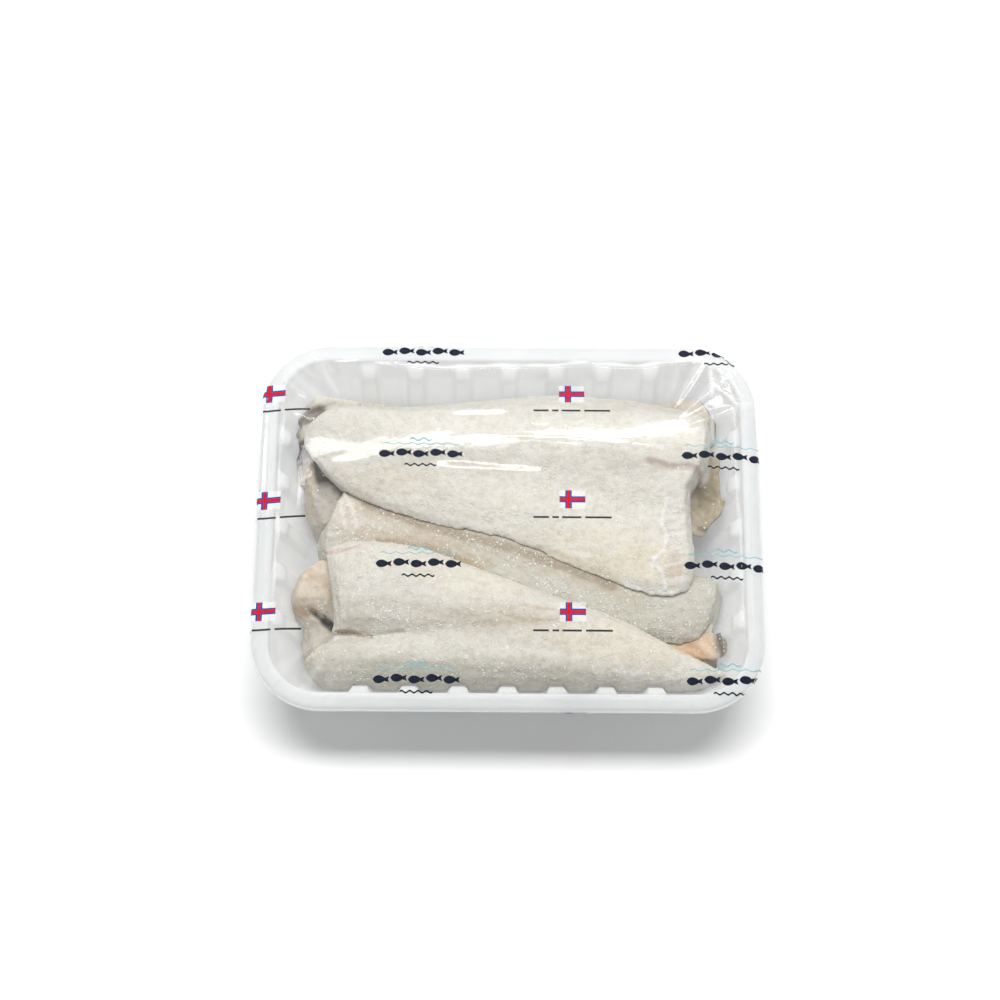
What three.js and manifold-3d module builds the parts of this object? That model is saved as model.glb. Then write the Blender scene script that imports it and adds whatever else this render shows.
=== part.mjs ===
// Salted cod fillets in a white plastic tray, overwrapped in clear film.
// Millimetres, +Z up, +X along the tray's long side. The origin is the middle
// of the pack's underside. Five fillets lie in the tray: two underneath, one
// between them, and two folded ones on top that lift the film a little.

import * as THREE from "three";
import { mergeVertices } from "three/addons/utils/BufferGeometryUtils.js";
import Module from "manifold-3d";

const wasm = await Module();
wasm.setup();

// Pack
const packLength = 251;
const packWidth = 192;
const cornerRadius = 35;
const clearance = 0.3; // left free wherever two pieces touch

// Tray
const rimHeight = 45; // top of the tray's rim
const trayWall = 1.1;
const rimWidth = 8;
const lipDrop = 5.6; // how far the rim's outer lip turns down
const baseInset = 21; // from the pack's outline to the foot of the wall
const ribPitch = 24;
const ribCrest = 7; // width of a rib's face
const ribFoot = 11; // width of a rib where it leaves the wall
const ribDepth = 4;
const ribsLongSide = 7;
const ribsShortSide = 5;

// Film
const filmThickness = 0.4;
const filmOpeningInset = 84; // the folded flaps stop short of each other under the base
const filmCorner = 1.6;

// Where the film leaves the rim and how steeply it climbs over the fish
const liftBack = { from: 94, slope: 0.11 };
const liftFront = { from: 94, slope: 0.1 };
const liftEnds = { from: 122, slope: 0.27 };
const liftCrown = { crestY: 42, height: 6.6, fallToFront: 0.022 };
const liftBlend = 4; // higher is a sharper meeting of the slopes

const halfLength = packLength / 2;
const halfWidth = packWidth / 2;
const coreX = halfLength - cornerRadius;
const coreY = halfWidth - cornerRadius;
const trayInset = filmThickness + clearance;
const trayBottom = filmThickness + clearance;
const trayFloor = trayBottom + trayWall;
const leastCorner = 6;
const cornerSteps = 6;

// Outlines: rounded rectangles, all with the same stops around them

// Places along one side of the tray where its outline turns in or out for the ribs.
function ribStops(count) {
  const stops = [];
  for (let i = 0; i < count; i++) {
    const middle = (i - (count - 1) / 2) * ribPitch;
    stops.push({ at: middle - ribFoot / 2, rib: 0 });
    stops.push({ at: middle - ribCrest / 2, rib: 1 });
    stops.push({ at: middle + ribCrest / 2, rib: 1 });
    stops.push({ at: middle + ribFoot / 2, rib: 0 });
  }
  return stops;
}

// Even places along one plain side.
function plainStops(half, count) {
  return Array.from({ length: count }, (_, i) => ({ at: half * ((2 * (i + 1)) / (count + 1) - 1), rib: 0 }));
}

// Every stop round the outline, anticlockwise: a point on the core rectangle and the way out from it.
function outlineStops(longSide, shortSide) {
  const stops = [];
  const corner = (x, y, startDegrees) => {
    for (let i = 0; i <= cornerSteps; i++) {
      const turn = THREE.MathUtils.degToRad(startDegrees + (90 * i) / cornerSteps);
      stops.push({ x, y, outX: Math.cos(turn), outY: Math.sin(turn), rib: 0 });
    }
  };
  for (const s of shortSide) stops.push({ x: coreX, y: s.at, outX: 1, outY: 0, rib: s.rib });
  corner(coreX, coreY, 0);
  for (const s of longSide) stops.push({ x: -s.at, y: coreY, outX: 0, outY: 1, rib: s.rib });
  corner(-coreX, coreY, 90);
  for (const s of shortSide) stops.push({ x: -coreX, y: -s.at, outX: -1, outY: 0, rib: s.rib });
  corner(-coreX, -coreY, 180);
  for (const s of longSide) stops.push({ x: s.at, y: -coreY, outX: 0, outY: -1, rib: s.rib });
  corner(coreX, -coreY, 270);
  return stops;
}

// The point of the ring at this inset from the pack's outline.
function ringPoint(stop, inset) {
  const radius = Math.max(cornerRadius - inset, leastCorner);
  const shareX = (halfLength - inset - radius) / coreX;
  const shareY = (halfWidth - inset - radius) / coreY;
  return new THREE.Vector2(stop.x * shareX + stop.outX * radius, stop.y * shareY + stop.outY * radius);
}

// A closed body of rings, made as a lathe whose circles are swapped for the outline.
// A row is { inset, z, rib } for a ring, { share, lift } for a ring on the film's top,
// or { z, axis: true } for the middle.
function ringBody(rows, stops) {
  const profile = rows.map((row, i) => new THREE.Vector2(row.axis ? 0 : 1, i));
  const body = new THREE.LatheGeometry(profile, stops.length);
  const place = body.attributes.position;
  for (let i = 0; i <= stops.length; i++) {
    const stop = stops[i % stops.length];
    rows.forEach((row, j) => {
      const at = row.axis ? new THREE.Vector2(0, 0) : ringPoint(stop, row.inset + (row.rib ?? 0) * stop.rib);
      if (row.share) at.multiplyScalar(row.share);
      const z = row.lift === undefined ? row.z : filmTop(at.x, at.y) + row.lift;
      place.setXYZ(i * rows.length + j, at.x, at.y, z);
    });
  }
  return solidOf(body);
}

// A three.js geometry as a solid, with its shared vertices merged and its collapsed faces dropped.
function solidOf(geometry) {
  geometry.deleteAttribute("normal");
  geometry.deleteAttribute("uv");
  const merged = mergeVertices(geometry, 1e-3);
  const corners = merged.index.array;
  const kept = [];
  for (let i = 0; i < corners.length; i += 3) {
    const [a, b, c] = [corners[i], corners[i + 1], corners[i + 2]];
    if (a !== b && b !== c && c !== a) kept.push(a, b, c);
  }
  const vertProperties = merged.attributes.position.array;
  return new wasm.Manifold(new wasm.Mesh({ numProp: 3, vertProperties, triVerts: new Uint32Array(kept) }));
}

// Film

// Height of the film's outer face over the tray, above where it leaves the rim: the lowest
// of the slopes that run up from the rim and over the fish, blended where they meet.
function filmLift(x, y) {
  const slopes = [
    (liftBack.from - y) * liftBack.slope,
    (liftFront.from + y) * liftFront.slope,
    (liftEnds.from - Math.abs(x)) * liftEnds.slope,
    liftCrown.height - (liftCrown.crestY - y) * liftCrown.fallToFront,
  ];
  if (Math.min(...slopes) <= 0) return 0;
  const sum = slopes.reduce((total, s) => total + s ** -liftBlend, 0);
  return sum ** (-1 / liftBlend);
}

function filmTop(x, y) {
  return rimHeight + clearance + filmThickness + filmLift(x, y);
}

function filmUnder(x, y) {
  return filmTop(x, y) - filmThickness;
}

// One wall of film, thicker than real film so that it is a body: over the top, round the
// rim, straight down to the foot of the tray and folded under it.
function filmBody() {
  const topShares = [0.965, 0.9, 0.78, 0.62, 0.44, 0.24];
  const t = filmThickness;
  const side = rimHeight - lipDrop;
  const rows = [];
  rows.push({ inset: filmOpeningInset, z: 0 });
  rows.push({ inset: baseInset + 0.6, z: 0 });
  rows.push({ inset: baseInset - 1, z: filmCorner });
  rows.push({ inset: 0.3, z: side });
  rows.push({ inset: 0, z: side + filmCorner });
  rows.push({ inset: 0, z: rimHeight - 0.5 });
  rows.push({ inset: 0.8, z: rimHeight + clearance + t });
  for (const share of topShares) rows.push({ inset: 0.8, share, lift: 0 });
  rows.push({ axis: true, z: filmTop(0, 0) });
  rows.push({ axis: true, z: filmUnder(0, 0) });
  for (const share of topShares.toReversed()) rows.push({ inset: 0.8, share, lift: -t });
  rows.push({ inset: 0.8 + t, z: rimHeight + clearance });
  rows.push({ inset: t, z: rimHeight - 0.5 });
  rows.push({ inset: t, z: side + filmCorner });
  rows.push({ inset: 0.3 + t, z: side });
  rows.push({ inset: baseInset - 1 + t, z: filmCorner + t / 2 });
  rows.push({ inset: baseInset + 0.6 + t, z: t });
  rows.push({ inset: filmOpeningInset, z: t });
  rows.push({ inset: filmOpeningInset, z: 0 });
  return ringBody(rows, outlineStops(plainStops(coreX, 6), plainStops(coreY, 4)));
}

// Tray

// The tray's inner face from the rim down, each row moved in by extra.
function innerRows(extra) {
  return [
    { inset: trayInset + rimWidth + extra, z: rimHeight },
    { inset: trayInset + rimWidth + 0.6 + extra, z: rimHeight - 3.6 },
    { inset: trayInset + rimWidth + 0.8 + extra, z: rimHeight - 5.2, rib: ribDepth },
    { inset: baseInset + trayWall - 1 + extra, z: trayFloor + 2.6, rib: ribDepth },
    { inset: baseInset + trayWall + 4 + extra, z: trayFloor + extra },
  ];
}

// The tray, or with extra the same tray with its inner face that much nearer to the fish.
function trayBody(stops, extra = 0) {
  const outerTop = trayInset + rimWidth - trayWall;
  const rows = [];
  rows.push({ axis: true, z: trayBottom });
  rows.push({ inset: baseInset + 4, z: trayBottom });
  rows.push({ inset: baseInset - 1, z: trayBottom + 2.2, rib: ribDepth });
  rows.push({ inset: outerTop + 0.8, z: rimHeight - 5.2 - trayWall, rib: ribDepth });
  rows.push({ inset: outerTop + 0.6, z: rimHeight - 3.6 - trayWall });
  rows.push({ inset: outerTop, z: rimHeight - trayWall });
  rows.push({ inset: trayInset + trayWall, z: rimHeight - trayWall });
  rows.push({ inset: trayInset + trayWall, z: rimHeight - lipDrop + 0.6 });
  rows.push({ inset: trayInset, z: rimHeight - lipDrop + 0.6 });
  rows.push({ inset: trayInset, z: rimHeight - 1 });
  rows.push({ inset: trayInset + 1, z: rimHeight });
  rows.push(...innerRows(extra));
  rows.push({ axis: true, z: trayFloor + extra });
  return ringBody(rows, stops);
}

// Fillets

// Uneven relief of the flesh, the same on every run: a few crossed waves.
function fleshRelief(x, y) {
  const flakes = Math.sin(x / 5.1 + 1.7 * Math.sin(y / 13)) * Math.sin(y / 8.3 + x / 21);
  const lumps = Math.sin(x / 13.7 + 0.6) * Math.cos(y / 11.9 - x / 37);
  return 0.35 * flakes + 0.6 * lumps;
}

// From 0 at an edge up to 1 at radius in from it, as a quarter circle.
function shoulder(distance, radius) {
  const left = 1 - Math.min(distance / radius, 1);
  return Math.sqrt(1 - left * left);
}

// A number that runs smoothly through the given values as t goes from 0 to 1.
function smoothThrough(values, t) {
  const line = new THREE.SplineCurve(values.map((value, i) => new THREE.Vector2(i, value)));
  return line.getPoint(t).y;
}

// Grid lines lie closer together near the edges, where the flesh turns down.
function closerAtEdges(t) {
  return THREE.MathUtils.lerp(t, (1 - Math.cos(Math.PI * t)) / 2, 0.55);
}

// Near 0 inside a grid and a little over 1 at its far edges, to push only those edges out.
function outward(t) {
  return 1.5 * (2 * t - 1) ** 9;
}

// How deep the folds lie below the crown at this place.
function foldDepth(folds, x, y) {
  let deepest = 0;
  for (const fold of folds) {
    const from = new THREE.Vector3(...fold.from, 0);
    const to = new THREE.Vector3(...fold.to, 0);
    const line = new THREE.Line3(from, to);
    const here = new THREE.Vector3(x, y, 0);
    const along = line.closestPointToPointParameter(here, true);
    const away = line.at(along, new THREE.Vector3()).distanceTo(here);
    const depth = THREE.MathUtils.lerp(fold.depth[0], fold.depth[1], along);
    deepest = Math.max(deepest, depth * Math.exp(-((away / fold.width) ** 2)));
  }
  return deepest;
}

// A fillet is a box of cells bent to its plan outline, its crown heights and its underside.
// heights and under have a row for each station from left to right, and each row runs from
// the front edge to the back edge. edges says how much thickness is left at each edge and
// over what distance it rounds.
function filletBody(fillet, grown = 0) {
  const edge = (points) => new THREE.SplineCurve(points.map(([x, y]) => new THREE.Vector2(x, y)));
  const front = edge(fillet.front);
  const back = edge(fillet.back);
  const left = edge([fillet.front[0], ...fillet.left, fillet.back[0]]);
  const right = edge([fillet.front.at(-1), ...fillet.right, fillet.back.at(-1)]);
  const length = front.getLength();
  const width = Math.max(left.getLength(), right.getLength());
  const corner = (u, v) => {
    const low = front.getPoint(0).lerp(front.getPoint(1), u);
    return low.lerp(back.getPoint(0).lerp(back.getPoint(1), u), v);
  };
  const level = (rows, u, v) => smoothThrough(rows.map((row) => smoothThrough(row, v)), u);

  const body = new THREE.BoxGeometry(1, 1, 1, fillet.cells[0], fillet.cells[1], 1);
  const place = body.attributes.position;
  for (let i = 0; i < place.count; i++) {
    const u = closerAtEdges(place.getX(i) + 0.5);
    const v = closerAtEdges(place.getY(i) + 0.5);
    const across = front.getPointAt(u).lerp(back.getPointAt(u), v);
    const along = left.getPointAt(v).lerp(right.getPointAt(v), u);
    const at = across.add(along).sub(corner(u, v));
    at.x += grown * outward(u);
    at.y += grown * outward(v);

    const round = (side, distance) => {
      const { keep, over } = fillet.edges[side];
      return keep + (1 - keep) * shoulder(distance, over);
    };
    const ends = round("left", u * length) * round("right", (1 - u) * length);
    const sides = round("front", v * width) * round("back", (1 - v) * width);
    const under = level(fillet.under, u, v);
    let z = under - grown;
    if (place.getZ(i) > 0) {
      const crown = level(fillet.heights, u, v) + fleshRelief(at.x, at.y);
      z = under + (crown - foldDepth(fillet.folds, at.x, at.y) - under) * ends * sides + grown;
      z = Math.max(z, under + 1 + grown);
      z = Math.min(z, filmUnder(at.x, at.y) - clearance + grown);
    }
    place.setXYZ(i, at.x, at.y, z);
  }
  return solidOf(body);
}

// A thin flap: an outline given a thickness, tilted up towards the wall.
function flapBody(flap, grown = 0) {
  const outline = new THREE.SplineCurve([...flap.outline, flap.outline[0]].map(([x, y]) => new THREE.Vector2(x, y)));
  const shape = new THREE.Shape(outline.getPoints(flap.outline.length * 3).slice(0, -1));
  const body = new THREE.ExtrudeGeometry(shape, {
    depth: flap.thickness + 2 * grown,
    bevelEnabled: false,
  });
  body.translate(-flap.hinge[0], -flap.hinge[1], -grown);
  body.rotateY(-THREE.MathUtils.degToRad(flap.tilt));
  body.translate(flap.hinge[0], flap.hinge[1], flap.z);
  return solidOf(body);
}

const underBack = {
  cells: [17, 7],
  front: [[-97, -1], [-50, 4], [0, 8], [55, 10], [99, 8]],
  back: [[-99, 79], [-66, 75], [0, 73], [60, 74], [100, 79]],
  left: [[-103, 12], [-108, 30], [-113, 48], [-109, 68]],
  right: [[103, 26], [106, 46], [109, 64]],
  heights: [
    [22, 25, 28, 34, 36, 34],
    [22, 24, 24, 24, 25, 24],
    [20, 23, 24, 24, 24, 22],
    [22, 26, 28, 31, 36, 36],
  ],
  under: [[2.2, 2.2, 2.2], [2.2, 2.2, 2.2]],
  folds: [{ from: [-110, 56], to: [-88, 60], depth: [7, 5], width: 5 }],
  edges: {
    left: { keep: 0.5, over: 6 },
    right: { keep: 0.35, over: 12 },
    front: { keep: 0.4, over: 10 },
    back: { keep: 0.4, over: 12 },
  },
};

// Brown skin that stands out from under the upper fillet towards the right wall.
const skinFlap = {
  outline: [
    [88, 30], [101, 44], [107, 44], [109, 37], [107.5, 32], [109, 24],
    [110.5, 17], [107, 10], [102, 5], [99, 0], [94, 1], [88, 8],
  ],
  thickness: 1.6,
  hinge: [88, 20],
  tilt: 9,
  z: 22,
};

const underFront = {
  cells: [17, 7],
  front: [[-93, -74], [-40, -75], [20, -75], [96, -71]],
  back: [[-94, -12], [-50, -15], [10, -24], [60, -42], [98, -50]],
  left: [[-102, -63], [-104, -50], [-112, -37], [-108, -20]],
  right: [[106, -64], [104, -56]],
  heights: [
    [16, 20, 23, 30, 32, 30],
    [18, 22, 24, 26, 26, 24],
    [18, 20, 22, 22, 22, 20],
    [16, 18, 20, 20, 20, 18],
  ],
  under: [[2.2, 2.2, 2.2], [2.2, 2.2, 2.2]],
  folds: [{ from: [-108, -42], to: [-82, -56], depth: [4, 12], width: 4 }],
  edges: {
    left: { keep: 0.45, over: 7 },
    right: { keep: 0.3, over: 10 },
    front: { keep: 0.4, over: 10 },
    back: { keep: 0.4, over: 10 },
  },
};

// Skin and fin of the lower fillet at the front right corner.
const finFlap = {
  outline: [[86, -50], [96, -50], [100.5, -45], [103, -46], [102, -51], [107, -49], [109.5, -55], [108, -62], [100, -64], [90, -60]],
  thickness: 1.6,
  hinge: [86, -56],
  tilt: 6,
  z: 20,
};

const middle = {
  cells: [22, 8],
  front: [[-95, -16], [-50, -25], [0, -40], [50, -54], [92, -60]],
  back: [[-84, 29], [-40, 24], [20, 6], [70, -12], [110, -20]],
  left: [[-97, -3], [-92, 12]],
  right: [[101, -51], [106, -38]],
  heights: [
    [23, 27, 30, 31, 28],
    [26, 31, 34, 34, 29],
    [26, 31, 33, 33, 28],
    [22, 27, 30, 30, 27],
  ],
  under: [[2.6, 2.6, 2.6], [2.6, 2.6, 2.6]],
  folds: [],
  edges: {
    left: { keep: 0.6, over: 6 },
    right: { keep: 0.55, over: 9 },
    front: { keep: 0.5, over: 12 },
    back: { keep: 0.5, over: 12 },
  },
};

const upperBack = {
  cells: [27, 12],
  front: [[-105, 45], [-92, 29], [-76, 17], [-41, 3], [4, -9], [48, -26], [74, -34], [90, -31]],
  back: [[-99, 58], [-84, 68], [-55, 69], [-6, 75], [30, 78], [65, 75], [100, 69]],
  left: [[-106, 52]],
  right: [[93, -16], [91.5, 8], [92, 22], [100, 32], [102.5, 50]],
  heights: [
    [37, 38, 40, 42, 42, 40],
    [37, 42, 46, 51, 48, 36],
    [37, 41, 44, 52, 49, 36],
    [37, 41, 43, 51, 49, 36],
    [36, 39, 42, 49, 48, 38],
  ],
  under: [[26, 22, 12], [27, 20, 12]],
  folds: [{ from: [96, 25], to: [48, 29], depth: [6, 0.5], width: 4 }],
  edges: {
    left: { keep: 0.4, over: 12 },
    right: { keep: 0.65, over: 5 },
    front: { keep: 0.72, over: 9 },
    back: { keep: 0.35, over: 22 },
  },
};

const upperFront = {
  cells: [27, 12],
  front: [[-90, -80], [-60, -81], [-10, -81.5], [50, -81], [88, -80], [104, -75]],
  back: [[-92, -10], [-75, -6], [-45, -9], [-17, -19], [21, -33], [58, -47], [86, -62], [108, -72]],
  left: [[-100, -69], [-93, -60], [-86, -54], [-87, -34]],
  right: [[109, -74]],
  heights: [
    [34, 39, 38, 42, 42, 36],
    [35, 40, 40, 44, 43, 37],
    [35, 40, 41, 43, 42, 36],
    [34, 38, 40, 41, 40, 35],
    [31, 32, 33, 33, 33, 31],
  ],
  under: [[13, 20, 24], [13, 18, 22]],
  folds: [
    { from: [-92, -55], to: [-50, -55], depth: [11, 2.5], width: 3.6 },
    { from: [-50, -55], to: [40, -50], depth: [2.5, 0.8], width: 4 },
  ],
  edges: {
    left: { keep: 0.7, over: 5 },
    right: { keep: 0.3, over: 14 },
    front: { keep: 0.35, over: 18 },
    back: { keep: 0.72, over: 9 },
  },
};

// Finishes
const paleFlesh = new THREE.MeshStandardMaterial({ color: 0xd9d3c0, roughness: 0.75 });
const greyFlesh = new THREE.MeshStandardMaterial({ color: 0xbcb6a4, roughness: 0.75 });
const skinnyFlesh = new THREE.MeshStandardMaterial({ color: 0xa89b86, roughness: 0.6 });
const trayPlastic = new THREE.MeshStandardMaterial({ color: 0xeceeee, roughness: 0.35 });
const clearFilm = new THREE.MeshStandardMaterial({
  color: 0xffffff,
  roughness: 0.08,
  transparent: true,
  opacity: 0.15,
});

const pack = new THREE.Group();

// Cutting can leave a loose scrap beside a piece: only the piece itself is kept.
function withoutScraps(solid) {
  return solid.decompose().reduce((largest, part) => (part.volume() > largest.volume() ? part : largest));
}

function addPiece(name, solid, material) {
  const made = withoutScraps(solid).getMesh();
  const geometry = new THREE.BufferGeometry();
  geometry.setAttribute("position", new THREE.BufferAttribute(made.vertProperties, 3));
  geometry.setIndex(new THREE.BufferAttribute(made.triVerts, 1));
  geometry.computeVertexNormals();
  const mesh = new THREE.Mesh(geometry, material);
  mesh.name = name;
  pack.add(mesh);
}

// Each fillet is cut clear of the tray and of those that it lies on.
const ribbed = outlineStops(ribStops(ribsLongSide), ribStops(ribsShortSide));
const trayClear = trayBody(ribbed, clearance);
const lowBack = (grown) => filletBody(underBack, grown).add(flapBody(skinFlap, grown));
const lowFront = (grown) => filletBody(underFront, grown).add(flapBody(finFlap, grown));
const between = (grown) => filletBody(middle, grown);

addPiece("tray", trayBody(ribbed), trayPlastic);
addPiece("fillet_under_back", lowBack(0).subtract(trayClear), skinnyFlesh);
addPiece("fillet_under_front", lowFront(0).subtract(trayClear), skinnyFlesh);
const middleCut = between(0).subtract(lowBack(clearance)).subtract(lowFront(clearance));
addPiece("fillet_middle", middleCut.subtract(trayClear), greyFlesh);
const upperBackCut = filletBody(upperBack).subtract(lowBack(clearance)).subtract(between(clearance));
addPiece("fillet_upper_back", upperBackCut.subtract(trayClear), paleFlesh);
const upperFrontCut = filletBody(upperFront)
  .subtract(lowFront(clearance))
  .subtract(between(clearance))
  .subtract(filletBody(upperBack, clearance));
addPiece("fillet_upper_front", upperFrontCut.subtract(trayClear), paleFlesh);
addPiece("film", filmBody(), clearFilm);

export default pack;
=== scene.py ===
import math

import bmesh
import bpy
import numpy as np
from mathutils import Matrix, Vector, noise


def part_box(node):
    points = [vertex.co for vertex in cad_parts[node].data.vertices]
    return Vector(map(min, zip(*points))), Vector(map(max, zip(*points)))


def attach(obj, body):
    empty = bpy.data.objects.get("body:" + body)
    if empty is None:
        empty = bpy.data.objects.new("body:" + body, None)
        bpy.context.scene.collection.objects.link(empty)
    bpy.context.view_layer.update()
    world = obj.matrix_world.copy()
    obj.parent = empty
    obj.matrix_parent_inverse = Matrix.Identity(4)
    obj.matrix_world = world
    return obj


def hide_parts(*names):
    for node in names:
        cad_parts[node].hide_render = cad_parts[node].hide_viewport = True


# Salted cod fillets in a white tray under clear film. Shapes are worked out in millimetres
# and written to the meshes in metres.

mm = 0.001
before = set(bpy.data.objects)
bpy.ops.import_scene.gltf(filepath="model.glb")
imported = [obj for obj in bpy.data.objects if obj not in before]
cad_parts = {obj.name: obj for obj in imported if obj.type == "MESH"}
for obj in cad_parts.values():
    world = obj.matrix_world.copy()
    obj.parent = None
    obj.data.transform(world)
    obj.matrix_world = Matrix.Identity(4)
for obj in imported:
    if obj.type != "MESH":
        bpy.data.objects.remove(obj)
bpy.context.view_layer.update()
scene = bpy.context.scene


# The pack's own sizes, read from the frame

_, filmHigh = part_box("film")
_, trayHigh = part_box("tray")

pack = {
    "halfLength": filmHigh.x / mm,
    "halfWidth": filmHigh.y / mm,
    "rimHeight": trayHigh.z / mm,
    "cornerRadius": 35,
    "leastCorner": 6,
    "filmGap": 0.7,  # from the tray's rim up to the film's outer face
}
coreX = pack["halfLength"] - pack["cornerRadius"]
coreY = pack["halfWidth"] - pack["cornerRadius"]
mergeWithin = 0.002


# Small helpers

def screenColour(red, green, blue):
    # the linear colour of an 8-bit screen colour
    parts = []
    for part in (red, green, blue):
        part /= 255
        parts.append(part / 12.92 if part <= 0.04045 else ((part + 0.055) / 1.055) ** 2.4)
    return tuple(parts)


def readPoints(mesh):
    spots = np.empty(len(mesh.vertices) * 3, np.float32)
    mesh.vertices.foreach_get("co", spots)
    return spots.reshape(-1, 3).astype(float) / mm


def writePoints(mesh, spots):
    mesh.vertices.foreach_set("co", (np.asarray(spots) * mm).astype(np.float32).ravel())
    mesh.update()


def readNormals(mesh):
    normals = np.empty(len(mesh.vertices) * 3, np.float32)
    mesh.vertex_normals.foreach_get("vector", normals)
    return normals.reshape(-1, 3).astype(float)


def meshFrom(work, name):
    mesh = bpy.data.meshes.new(name)
    work.to_mesh(mesh)
    work.free()
    mesh.shade_smooth()
    return mesh


def addLayer(mesh, name, values):
    layer = mesh.attributes.new(name, "FLOAT", "POINT")
    layer.data.foreach_set("value", values.astype(np.float32))


def addPiece(name, mesh, material, replaced=()):
    piece = bpy.data.objects.new(name, mesh)
    scene.collection.objects.link(piece)
    mesh.materials.clear()
    mesh.materials.append(material)
    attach(piece, "root")
    if replaced:
        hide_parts(*replaced)
    return piece


def applyModifiers(piece):
    graph = bpy.context.evaluated_depsgraph_get()
    mesh = bpy.data.meshes.new_from_object(piece.evaluated_get(graph))
    piece.modifiers.clear()
    piece.data = mesh
    return mesh


def shellFromGrid(name, around, along, place):
    # a grid rolled round the pack: place turns shares of the way round and along into points
    work = bmesh.new()
    bmesh.ops.create_grid(work, x_segments=around, y_segments=along, size=1)
    mesh = meshFrom(work, name)
    flat = readPoints(mesh) * mm
    writePoints(mesh, place((flat[:, 0] + 1) / 2, (flat[:, 1] + 1) / 2))
    work = bmesh.new()
    work.from_mesh(mesh)
    bmesh.ops.remove_doubles(work, verts=work.verts, dist=mergeWithin * mm)
    bmesh.ops.recalc_face_normals(work, faces=work.faces)
    bpy.data.meshes.remove(mesh)
    return meshFrom(work, name)


def smoothStep(low, high, value):
    share = np.clip((value - low) / (high - low), 0, 1)
    return share * share * (3 - 2 * share)


def ridge(away, width):
    return np.exp(-((away / width) ** 2))


def awayFromLine(x, y, line):
    # the distance of each point from a line of several stretches
    nearest = np.full(len(x), np.inf)
    for (ax, ay), (bx, by) in zip(line, line[1:]):
        runX, runY = bx - ax, by - ay
        along = np.clip(((x - ax) * runX + (y - ay) * runY) / (runX ** 2 + runY ** 2), 0, 1)
        nearest = np.minimum(nearest, np.hypot(x - ax - along * runX, y - ay - along * runY))
    return nearest


def roughly(spots, scale, seed=0):
    # a smooth noise from -1 to 1 for each point
    placed = spots / np.array(scale, float) + (0, 0, seed)
    return np.array([noise.noise(Vector(spot)) for spot in placed])


# The pack's outline, a rounded rectangle

def outlineAt(turn):
    # at each share of the way round: a point of the core rectangle and the angle of the way out
    arc = math.pi / 2 * pack["cornerRadius"]
    steps = [coreY, arc, 2 * coreX, arc, 2 * coreY, arc, 2 * coreX, arc, coreY]
    ends = np.concatenate([[0], np.cumsum(steps)])
    where = turn * ends[-1]
    x = np.interp(where, ends, np.array([1, 1, 1, -1, -1, -1, -1, 1, 1, 1]) * coreX)
    y = np.interp(where, ends, np.array([0, 1, 1, 1, 1, -1, -1, -1, -1, 0]) * coreY)
    angle = np.interp(where, ends, np.radians([0, 0, 90, 90, 180, 180, 270, 270, 360, 360]))
    return x, y, angle


def ringAt(turn, inset):
    # the ring at this inset from the pack's outline
    x, y, angle = outlineAt(turn)
    radius = np.maximum(pack["cornerRadius"] - inset, pack["leastCorner"])
    shareX = (pack["halfLength"] - inset - radius) / coreX
    shareY = (pack["halfWidth"] - inset - radius) / coreY
    return x * shareX + np.cos(angle) * radius, y * shareY + np.sin(angle) * radius


# Materials

def newMaterial(name):
    material = bpy.data.materials.new(name)
    material.use_nodes = True
    nodes = material.node_tree.nodes
    return material, nodes, material.node_tree.links, nodes["Principled BSDF"]


def noiseNode(nodes, links, place, scale, detail=4.0, roughness=0.5):
    node = nodes.new("ShaderNodeTexNoise")
    node.inputs["Scale"].default_value = scale
    node.inputs["Detail"].default_value = detail
    node.inputs["Roughness"].default_value = roughness
    links.new(place, node.inputs["Vector"])
    return node.outputs["Fac"]


def rampNode(nodes, links, value, stops):
    node = nodes.new("ShaderNodeValToRGB")
    while len(node.color_ramp.elements) < len(stops):
        node.color_ramp.elements.new(0.5)
    for element, (at, level) in zip(node.color_ramp.elements, stops):
        element.position = at
        element.color = (*level, 1) if isinstance(level, tuple) else (level, level, level, 1)
    links.new(value, node.inputs["Fac"])
    return node.outputs["Color"]


def mixNode(nodes, links, kind, amount, first, second):
    node = nodes.new("ShaderNodeMix")
    node.data_type = "RGBA"
    node.blend_type = kind
    for socket, value in (("Factor", amount), (6, first), (7, second)):
        target = node.inputs[socket]
        if isinstance(value, bpy.types.NodeSocket):
            links.new(value, target)
        elif isinstance(value, tuple):
            target.default_value = (*value, 1)
        else:
            target.default_value = value
    return node.outputs[2]


def mathNode(nodes, links, kind, first, second):
    node = nodes.new("ShaderNodeMath")
    node.operation = kind
    for socket, value in zip(node.inputs, (first, second)):
        if isinstance(value, bpy.types.NodeSocket):
            links.new(value, socket)
        else:
            socket.default_value = value
    return node.outputs[0]


def bumpNode(nodes, links, height, distance, strength=1.0, before=None):
    node = nodes.new("ShaderNodeBump")
    node.inputs["Strength"].default_value = strength
    node.inputs["Distance"].default_value = distance
    links.new(height, node.inputs["Height"])
    if before:
        links.new(before, node.inputs["Normal"])
    return node.outputs["Normal"]


def attributeNode(nodes, name, output="Fac"):
    node = nodes.new("ShaderNodeAttribute")
    node.attribute_name = name
    return node.outputs[output]


def objectPlace(nodes):
    return nodes.new("ShaderNodeTexCoord").outputs["Object"]


def paintedRimShade(nodes, links, place, colour):
    # painted shade: the rim's colour is made greyer, standing in for the thin walls letting more light
    # through than the rolled rim does
    height = nodes.new("ShaderNodeSeparateXYZ")
    links.new(place, height.inputs[0])
    rim = nodes.new("ShaderNodeMapRange")
    least, most = trayForm["paintedShadeBelowRim"]
    rim.inputs["From Min"].default_value = (pack["rimHeight"] - most) * mm
    rim.inputs["From Max"].default_value = (pack["rimHeight"] - least) * mm
    links.new(height.outputs["Z"], rim.inputs["Value"])
    return mixNode(nodes, links, "MULTIPLY", rim.outputs["Result"], colour, trayForm["rimPaintedShade"])


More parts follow.
